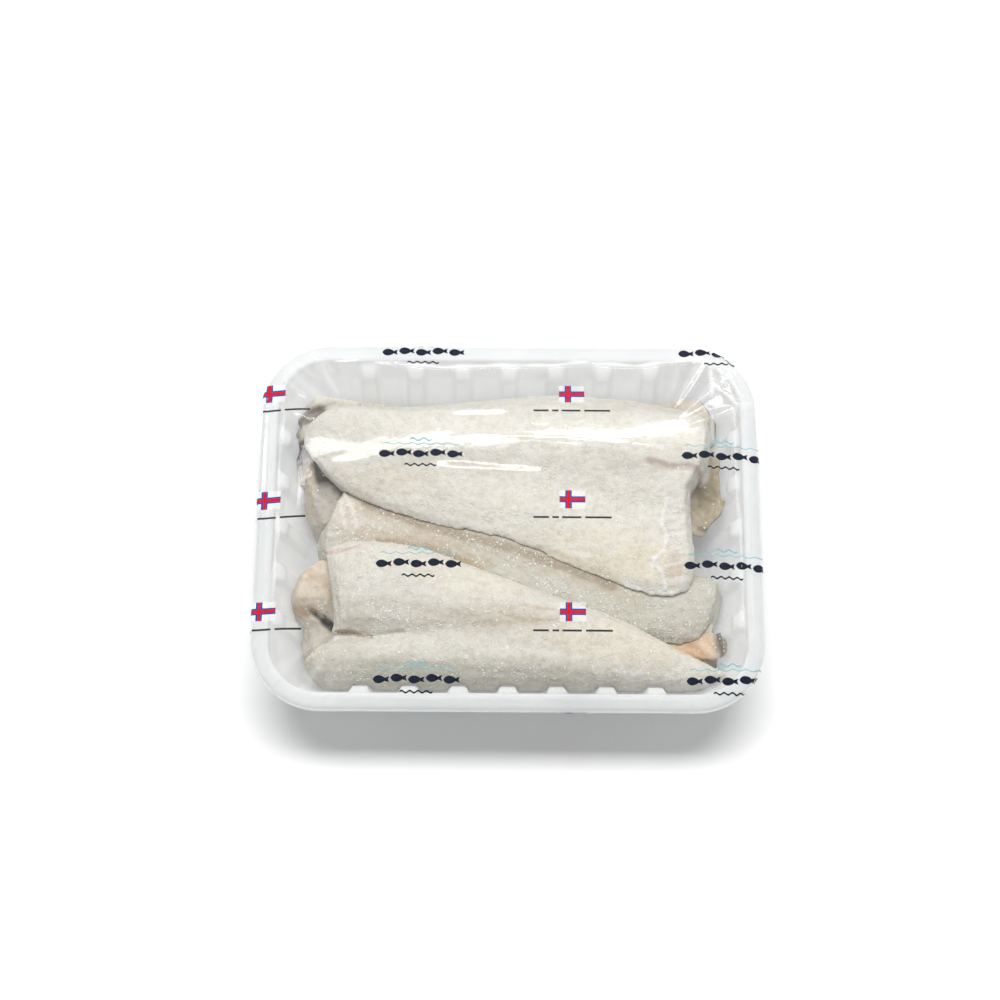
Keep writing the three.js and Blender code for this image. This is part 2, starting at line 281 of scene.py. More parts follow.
def trayMaterial():
    material, nodes, links, shader = newMaterial("whiteTrayPlastic")
    place = objectPlace(nodes)
    dull, bright = screenColour(207, 210, 211), screenColour(218, 220, 220)
    cloud = noiseNode(nodes, links, place, 35)
    shade = rampNode(nodes, links, cloud, [(0.35, dull), (0.7, bright)])
    # the rim's colour is darkened here as painted shade
    links.new(paintedRimShade(nodes, links, place, shade), shader.inputs["Base Color"])
    shader.inputs["Roughness"].default_value = 0.34
    shader.inputs["Subsurface Weight"].default_value = 0.85
    shader.inputs["Subsurface Radius"].default_value = (0.012, 0.012, 0.0125)
    shader.inputs["Subsurface Scale"].default_value = 1.0
    # painted glow: the tray gives off a little light of its own, standing in for light that comes up
    # through the thin plastic
    shader.inputs["Emission Color"].default_value = (1, 1, 1, 1)
    shader.inputs["Emission Strength"].default_value = 0.12
    fine = noiseNode(nodes, links, place, 420, detail=2)
    links.new(bumpNode(nodes, links, fine, 0.00012, 0.35), shader.inputs["Normal"])
    return material


def saltCrust(nodes, links, place):
    # 1 on a crystal and 0 between, in patches, where the flesh has a crust
    crystal = nodes.new("ShaderNodeTexVoronoi")
    crystal.inputs["Scale"].default_value = 820
    links.new(place, crystal.inputs["Vector"])
    grains = rampNode(nodes, links, crystal.outputs["Distance"], [(0.12, 1.0), (0.5, 0.0)])
    patchy = noiseNode(nodes, links, place, 210, detail=4)
    here = rampNode(nodes, links, patchy, [(0.4, 0.0), (0.6, 1.0)])
    salted = mathNode(nodes, links, "MULTIPLY", grains, here)
    return mathNode(nodes, links, "MULTIPLY", salted, attributeNode(nodes, "crust"))


def fleshMaterial(name):
    # the painted tint, with painted shade and light in some patches, broken up by blotches, browner
    # specks and a crust of salt crystals
    material, nodes, links, shader = newMaterial(name)
    place = objectPlace(nodes)
    wet = attributeNode(nodes, "wet")
    white = (1.0, 1.0, 1.0)
    blotch = noiseNode(nodes, links, place, 95, detail=7, roughness=0.68)
    blotches = rampNode(nodes, links, blotch, [(0.36, (0.87, 0.86, 0.83)), (0.56, white)])
    colour = mixNode(nodes, links, "MULTIPLY", 0.6, attributeNode(nodes, "tintAndShade", "Color"), blotches)
    speck = noiseNode(nodes, links, place, 330, detail=6, roughness=0.75)
    specks = rampNode(nodes, links, speck, [(0.4, (0.76, 0.72, 0.64)), (0.52, white)])
    colour = mixNode(nodes, links, "MULTIPLY", 0.45, colour, specks)
    salted = saltCrust(nodes, links, place)
    cover = mathNode(nodes, links, "MULTIPLY", salted, 0.8)
    colour = mixNode(nodes, links, "MIX", cover, colour, (0.88, 0.88, 0.85))
    links.new(colour, shader.inputs["Base Color"])

    rough = nodes.new("ShaderNodeMapRange")
    rough.inputs["To Min"].default_value = 0.5
    rough.inputs["To Max"].default_value = 0.14
    links.new(wet, rough.inputs["Value"])
    links.new(rough.outputs["Result"], shader.inputs["Roughness"])
    shader.inputs["Subsurface Weight"].default_value = 0.22
    shader.inputs["Subsurface Radius"].default_value = (0.0036, 0.0026, 0.0017)
    shader.inputs["Subsurface Scale"].default_value = 1.0
    # dry flesh is grainy, wet flesh is smooth
    dry = mathNode(nodes, links, "SUBTRACT", 1.05, wet)
    grain = mathNode(nodes, links, "MULTIPLY", speck, dry)
    normal = bumpNode(nodes, links, grain, 0.0013, 0.8)
    normal = bumpNode(nodes, links, salted, 0.0005, 0.9, normal)
    normal = bumpNode(nodes, links, attributeNode(nodes, "fibres"), 0.0007, 0.8, normal)
    links.new(normal, shader.inputs["Normal"])
    return material


def saltMaterial():
    material, nodes, links, shader = newMaterial("saltCrystals")
    dull, bright = screenColour(222, 219, 208), screenColour(245, 244, 239)
    cloud = noiseNode(nodes, links, objectPlace(nodes), 300)
    shade = rampNode(nodes, links, cloud, [(0.3, dull), (0.7, bright)])
    links.new(shade, shader.inputs["Base Color"])
    shader.inputs["Roughness"].default_value = 0.3
    return material


def filmMaterial():
    # clear film: mostly see-through, with a gloss that grows at grazing angles; its folds are whitish,
    # partly from stress whitening and partly as a painted highlight
    material, nodes, links, shader = newMaterial("clearFilm")
    nodes.remove(shader)
    clear = nodes.new("ShaderNodeBsdfTransparent")
    clear.inputs["Color"].default_value = (0.995, 0.997, 0.996, 1)
    gloss = nodes.new("ShaderNodeBsdfAnisotropic")
    gloss.inputs["Color"].default_value = (1, 1, 1, 1)
    gloss.inputs["Roughness"].default_value = 0.06
    hazeAndGlint = nodes.new("ShaderNodeBsdfDiffuse")
    hazeAndGlint.inputs["Color"].default_value = (1, 1, 1, 1)
    place = objectPlace(nodes)
    ripple = noiseNode(nodes, links, place, 55, detail=3)
    fine = noiseNode(nodes, links, place, 480, detail=2)
    bump = bumpNode(nodes, links, ripple, 0.0004, 0.35)
    bump = bumpNode(nodes, links, fine, 0.00005, 0.3, bump)
    links.new(bump, gloss.inputs["Normal"])
    fresnel = nodes.new("ShaderNodeFresnel")
    fresnel.inputs["IOR"].default_value = 1.5
    links.new(bump, fresnel.inputs["Normal"])
    veilAndGlint = nodes.new("ShaderNodeMixShader")
    # a faint milky haze all over, plus white on the folds that is partly a painted highlight
    links.new(attributeNode(nodes, "hazeAndGlint"), veilAndGlint.inputs["Fac"])
    links.new(clear.outputs[0], veilAndGlint.inputs[1])
    links.new(hazeAndGlint.outputs[0], veilAndGlint.inputs[2])
    whole = nodes.new("ShaderNodeMixShader")
    shine = mathNode(nodes, links, "MINIMUM", fresnel.outputs[0], filmForm["mostShine"])
    links.new(shine, whole.inputs["Fac"])
    links.new(veilAndGlint.outputs[0], whole.inputs[1])
    links.new(gloss.outputs[0], whole.inputs[2])
    links.new(whole.outputs[0], nodes["Material Output"].inputs["Surface"])
    return material


def inkMaterial(name, colour, cover):
    material, nodes, links, shader = newMaterial(name)
    wear = noiseNode(nodes, links, objectPlace(nodes), 900, detail=2)
    lighter = tuple(min(1, part * 1.25 + 0.01) for part in colour)
    shade = rampNode(nodes, links, wear, [(0.35, colour), (0.75, lighter)])
    links.new(shade, shader.inputs["Base Color"])
    shader.inputs["Roughness"].default_value = 0.45
    shader.inputs["Specular IOR Level"].default_value = 0.25
    shader.inputs["Alpha"].default_value = cover
    return material


# The film's form

filmForm = {
    "side": [  # inset and height, from the top's edge round the rim and down to the foot
        (2.4, 45.7), (1.2, 45.4), (0.45, 44.7), (0.08, 43.6), (0, 42.2), (0, 41.0),
        (0.4, 39.3), (5.2, 29.8), (10.4, 19.8), (15.4, 10.2), (19.6, 1.9), (20.6, 0.5), (21.8, 0.15),
    ],
    "liftBack": (94, 0.11),
    "liftFront": (94, 0.10),
    "liftEnds": (122, 0.27),
    "crestY": 42,
    "crownHeight": 6.6,
    "crownFall": 0.022,
    "blend": 4,
    "clearHaze": 0.02,
    # how white the folds show, partly stress whitening and partly a painted highlight
    "foldWhiteAndGlint": 0.55,
    "mostShine": 0.2,
    "rippleHeight": 0.05,
    "pleatHeight": 0.5,
    "pleatsFrom": 52,  # how far in from both sides the pleats of a corner start
    "pleatAngles": (0.15, 0.5, 1.1, 1.45),  # where they rise and fade, round the corner
    "pleatReach": (14, 34, 50, 66),  # and going out
    "pleatFan": 11,
    "pleats": {(1, 1): 0.8, (-1, 1): 0.5, (1, -1): 0.45, (-1, -1): 0.45},  # how strong, at each corner
    "sidePleats": 12,
    "sidePleatDepth": 1.1,
    "around": 560,
    "along": 176,
}


def filmLift(x, y):
    # how far the film rises over the rim: the lowest of the slopes up to the fish, blended
    backFrom, backSlope = filmForm["liftBack"]
    frontFrom, frontSlope = filmForm["liftFront"]
    endsFrom, endsSlope = filmForm["liftEnds"]
    slopes = np.stack([
        (backFrom - y) * backSlope,
        (frontFrom + y) * frontSlope,
        (endsFrom - np.abs(x)) * endsSlope,
        filmForm["crownHeight"] - (filmForm["crestY"] - y) * filmForm["crownFall"],
    ])
    lowest = slopes.min(axis=0)
    power = -filmForm["blend"]
    total = (np.maximum(slopes, 1e-3) ** power).sum(axis=0)
    return np.where(lowest > 0, total ** (1 / power), 0)


# Shallow steps that catch the light: middle, lean, half length, half width and how far they drop
filmSteps = [
    {"at": (-15, 57), "lean": 0.04, "long": 21, "wide": 2.4, "drop": -0.19},
    {"at": (14, 51), "lean": -0.1, "long": 7, "wide": 1.6, "drop": -0.055},
    {"at": (-8, 27), "lean": -0.06, "long": 38, "wide": 3.0, "drop": 0.31},
    {"at": (-80, 31), "lean": 0.1, "long": 12, "wide": 2.0, "drop": 0.05},
    {"at": (52, 33), "lean": -0.06, "long": 20, "wide": 2.2, "drop": 0.06},
]


def foldAlong(line, wide, high, white):
    # a fold that stands up a little and shows white, partly from stress whitening and partly as a painted
    # highlight
    return {"line": line, "wide": wide, "high": high, "white": white}


filmFolds = [
    foldAlong([(-58, 85), (-32, 82.5), (-5, 84), (20, 84), (38, 86), (64, 84), (101, 89)], 0.9, 0.4, 0.9),
    foldAlong([(-98, 86), (-76, 87.5), (-58, 85)], 0.9, 0.25, 0.4),
    foldAlong([(103, 86), (102.5, 72), (102, 41)], 0.7, 0.15, 0.5),
    foldAlong([(101, 88), (103, 74), (111, 67), (115, 63)], 0.8, 0.5, 1.0),
    foldAlong([(105, 88), (109, 75), (114, 66)], 0.7, 0.5, 0.9),
    foldAlong([(108, 88), (113, 77), (117, 68)], 0.7, 0.5, 0.8),
    foldAlong([(112, 85), (117, 76)], 0.7, 0.4, 0.6),
    foldAlong([(113, 60), (113.5, 22), (114.5, -14), (114, -52)], 0.7, 0.12, 0.6),
    foldAlong([(118.5, 64), (119, 30), (118.6, -8), (119.4, -58)], 0.7, 0.12, 0.4),
    foldAlong([(-113.5, 58), (-114.5, 26), (-114, -8), (-115.4, -44)], 0.8, 0.12, 0.6),
    foldAlong([(-119, 60), (-119.6, 12), (-119, -52)], 0.7, 0.12, 0.35),
    foldAlong([(-117, 78), (-104, 66)], 0.8, 0.3, 0.35),
    foldAlong([(-110, 86), (-98, 76)], 0.8, 0.3, 0.35),
    foldAlong([(-98, 92), (-90, 80)], 0.9, 0.25, 0.3),
    foldAlong([(-29, 43), (-17, 45), (3, 44), (26, 43), (56, 40), (80, 37)], 0.6, 0.06, 0.25),
    foldAlong([(-92, -89), (-40, -90), (20, -89.4), (84, -90)], 0.8, 0.2, 0.3),
]


def filmPleats(x, y):
    # tight pleats that run out to the corners
    total = 0
    rise, full, fade, gone = filmForm["pleatAngles"]
    start, high, fall, end = filmForm["pleatReach"]
    for (signX, signY), strength in filmForm["pleats"].items():
        awayX = signX * x - (pack["halfLength"] - filmForm["pleatsFrom"])
        awayY = signY * y - (pack["halfWidth"] - filmForm["pleatsFrom"])
        angle = np.arctan2(awayY, awayX)
        reach = np.hypot(awayX, awayY)
        inCorner = smoothStep(rise, full, angle) * smoothStep(gone, fade, angle)
        inReach = smoothStep(start, high, reach) * smoothStep(end, fall, reach)
        fan = np.abs(np.sin(angle * filmForm["pleatFan"] + 0.7 * np.sin(angle * 5))) ** 6
        total = total + strength * fan * inCorner * inReach
    return total


def foldsAt(x, y, what):
    # the height or the whiteness that the folds give each place
    total = 0
    wander = 0.4 * np.sin(x / 3.1) * np.sin(y / 4.3)
    for fold in filmFolds:
        away = awayFromLine(x, y, fold["line"]) + wander
        total = total + fold[what] * ridge(away, fold["wide"])
    return total


def filmWrinkles(x, y):
    # low ripples, the steps, the pleats and the folds
    x, y = np.asarray(x, float), np.asarray(y, float)
    ripple = np.sin(x / 9 + 2 * np.sin(y / 17)) * ridge(y - filmForm["crestY"], 14)
    height = filmForm["rippleHeight"] * ripple
    for step in filmSteps:
        away = y - step["at"][1] - step["lean"] * (x - step["at"][0])
        ends = smoothStep(1.0, 0.4, np.abs(x - step["at"][0]) / step["long"])
        drop = smoothStep(-step["wide"], step["wide"], away) - 0.5
        height = height - step["drop"] * drop * ends * ridge(away, 4 * step["wide"])
    return height + filmForm["pleatHeight"] * filmPleats(x, y) + foldsAt(x, y, "high")


# a faint milky haze all over, and white on the folds and pleats that is partly stress whitening and
# partly a painted highlight
def addHazeAndGlint(mesh):
    spots = readPoints(mesh)
    x, y, z = spots.T
    white = foldsAt(x, y, "white") + 0.5 * filmPleats(x, y)
    onTop = z > filmForm["side"][0][1] - 0.2
    hazeAndGlint = filmForm["clearHaze"] + filmForm["foldWhiteAndGlint"] * np.clip(white, 0, 1) * onTop
    addLayer(mesh, "hazeAndGlint", hazeAndGlint)


def filmHeight(x, y):
    return pack["rimHeight"] + pack["filmGap"] + filmLift(x, y) + filmWrinkles(x, y)


def sideLengths():
    steps = np.array(filmForm["side"])
    return np.concatenate([[0], np.cumsum(np.hypot(*np.diff(steps, axis=0).T))])


def sidePleat(angle, down):
    # how deep the pleats cut into the film's side, most at the corners and half way down
    pleat = np.abs(np.sin(angle * filmForm["sidePleats"])) ** 3 * np.abs(np.sin(angle * 2)) ** 1.5
    onSide = smoothStep(0.02, 0.25, down) * smoothStep(0.85, 0.6, down)
    return pleat * onSide * filmForm["sidePleatDepth"]


def makeFilm():
    side = np.array(filmForm["side"])
    lengths = sideLengths()
    topStart = 0.42
    baseShare = 0.08

    def place(turn, way):
        # way runs from the middle of the base, out, up the side and over the top to its middle
        down = np.clip((way - baseShare) / (topStart - baseShare), 0, 1)
        back = (1 - down ** 0.7) * lengths[-1]
        inset = np.interp(back, lengths, side[:, 0])
        z = np.interp(back, lengths, side[:, 1])
        x, y = ringAt(turn, inset)
        _, _, angle = outlineAt(turn)
        pleat = sidePleat(angle, down)
        x = x - np.cos(angle) * pleat
        y = y - np.sin(angle) * pleat
        share = np.where(way < baseShare, way / baseShare, 1)
        share = np.where(way > topStart, 1 - (way - topStart) / (1 - topStart), share)
        x, y = x * share, y * share
        z = np.where(way > topStart, filmHeight(x, y), z)
        atEdge = smoothStep(topStart, topStart + 0.02, way)
        z = np.where(way > topStart, side[0, 1] * (1 - atEdge) + z * atEdge, z)
        return np.stack([x, y, z], axis=1)

    mesh = shellFromGrid("filmWrap", filmForm["around"], filmForm["along"], place)
    addHazeAndGlint(mesh)
    return addPiece("filmWrap", mesh, filmMaterial(), ["film"])


def overEdge(x, y):
    # how far past the top's edge a spot of the flat film lies, and its way out from the core rectangle
    outX = x - np.clip(x, -coreX, coreX)
    outY = y - np.clip(y, -coreY, coreY)
    reach = np.maximum(np.hypot(outX, outY), 1e-6)
    return reach - (pack["cornerRadius"] - filmForm["side"][0][0]), outX / reach, outY / reach


def ontoFilm(x, y, raised):
    # a spot of the flat film laid on the pack: past the top's edge it goes on down the side
    side = np.array(filmForm["side"])
    over, outX, outY = overEdge(x, y)
    inset = np.interp(over, sideLengths(), side[:, 0])
    down = np.interp(over, sideLengths(), side[:, 1])
    radius = pack["cornerRadius"] - inset + raised
    wrappedX = np.where(over > 0, np.clip(x, -coreX, coreX) + outX * radius, x)
    wrappedY = np.where(over > 0, np.clip(y, -coreY, coreY) + outY * radius, y)
    height = np.where(over > 0, down, filmHeight(wrappedX, wrappedY))
    return np.stack([wrappedX, wrappedY, height + raised], axis=1)


# The tray

trayForm = {
    "wall": 1.0,
    "rimWidth": 8.0,
    "baseInset": 21,
    "ribPitch": 24,
    "ribCrest": 7,
    "ribFoot": 11.5,
    "ribsLongSide": 7,
    "ribsShortSide": 5,
    "paintedShadeBelowRim": (1.5, 5),  # the painted shade on the rim is deepest above the first and gone below the second
    # how far the painted shade darkens the rim's colour
    "rimPaintedShade": (0.87, 0.88, 0.88),
    "around": 700,
    "along": 64,
}


def ribAt(turn):
    # 1 on a rib's face, 0 between ribs and round the corners
    x, y, angle = outlineAt(turn)
    quarter = np.round(np.degrees(angle) / 90)
    straight = np.abs(np.degrees(angle) - quarter * 90) < 1e-6
    alongLong = quarter % 2 == 1
    along = np.where(alongLong, x, y)
    most = np.where(alongLong, trayForm["ribsLongSide"] // 2, trayForm["ribsShortSide"] // 2)
    nearest = np.round(along / trayForm["ribPitch"])
    away = np.abs(along - nearest * trayForm["ribPitch"])
    face = smoothStep(trayForm["ribFoot"] / 2, trayForm["ribCrest"] / 2, away)
    return np.where(straight & (np.abs(nearest) <= most), face, 0)


def makeTray():
    rim = pack["rimHeight"]
    inner = pack["filmGap"] + trayForm["rimWidth"]
    foot = trayForm["baseInset"]
    rows = np.array([  # how far along, inset, height, how deep the ribs stand
        (0.00, pack["halfWidth"], 1.8, 0), (0.10, foot + 5.5, 1.8, 0), (0.14, foot + 3.0, 2.1, 0.8),
        (0.18, foot + 1.2, 3.1, 1.6), (0.22, foot + 0.1, 4.8, 1.8),
        (0.48, inner + 3.2, rim - 16, 3.4), (0.55, inner + 2.2, rim - 11, 4.0),
        (0.59, inner + 1.7, rim - 8.5, 3.5), (0.63, inner + 1.25, rim - 6.2, 2.4),
        (0.67, inner + 0.9, rim - 4.3, 1.0), (0.70, inner + 0.65, rim - 2.9, 0.2),
        (0.72, inner + 0.5, rim - 2.2, 0), (0.75, inner + 0.25, rim - 1.1, 0),
        (0.77, inner - 0.1, rim - 0.35, 0), (0.79, inner - 0.9, rim, 0), (0.86, 2.9, rim, 0),
        (0.88, 1.75, rim - 0.2, 0), (0.91, 0.95, rim - 0.9, 0), (0.94, 0.75, rim - 2.2, 0),
        (1.00, 0.72, rim - 5.2, 0),
    ])

    def place(turn, way):
        inset = np.interp(way, rows[:, 0], rows[:, 1])
        z = np.interp(way, rows[:, 0], rows[:, 2])
        depth = np.interp(way, rows[:, 0], rows[:, 3])
        inFloor = way < rows[1, 0]
        x, y = ringAt(turn, np.where(inFloor, rows[1, 1], inset + depth * ribAt(turn)))
        share = np.where(inFloor, way / rows[1, 0], 1)
        return np.stack([x * share, y * share, z], axis=1)

    mesh = shellFromGrid("trayShell", trayForm["around"], trayForm["along"], place)
    middle = min(mesh.polygons, key=lambda face: face.center.length)
    if middle.normal.z < 0:
        mesh.flip_normals()
    piece = addPiece("trayShell", mesh, trayMaterial(), ["tray"])
    wall = piece.modifiers.new("wall", "SOLIDIFY")
    wall.thickness = trayForm["wall"] * mm
    wall.offset = -1
    return piece


# The fillets

def roundPatch(at, reach, colour, cover, wet=None):
    # its middle, how far it reaches each way, its screen colour, how well it covers and how wet it is
    return {"at": at, "reach": reach, "colour": colour, "cover": cover, "wet": wet}


def linePatch(line, reach, colour, cover, wet=None):
    # a patch that follows a line
    return {"line": line, "reach": (reach, reach), "colour": colour, "cover": cover, "wet": wet}


def creaseAlong(line, width, depth):
    # a groove along a line, or a raised thread where the depth is below zero
    return {"line": line, "width": width, "depth": depth}


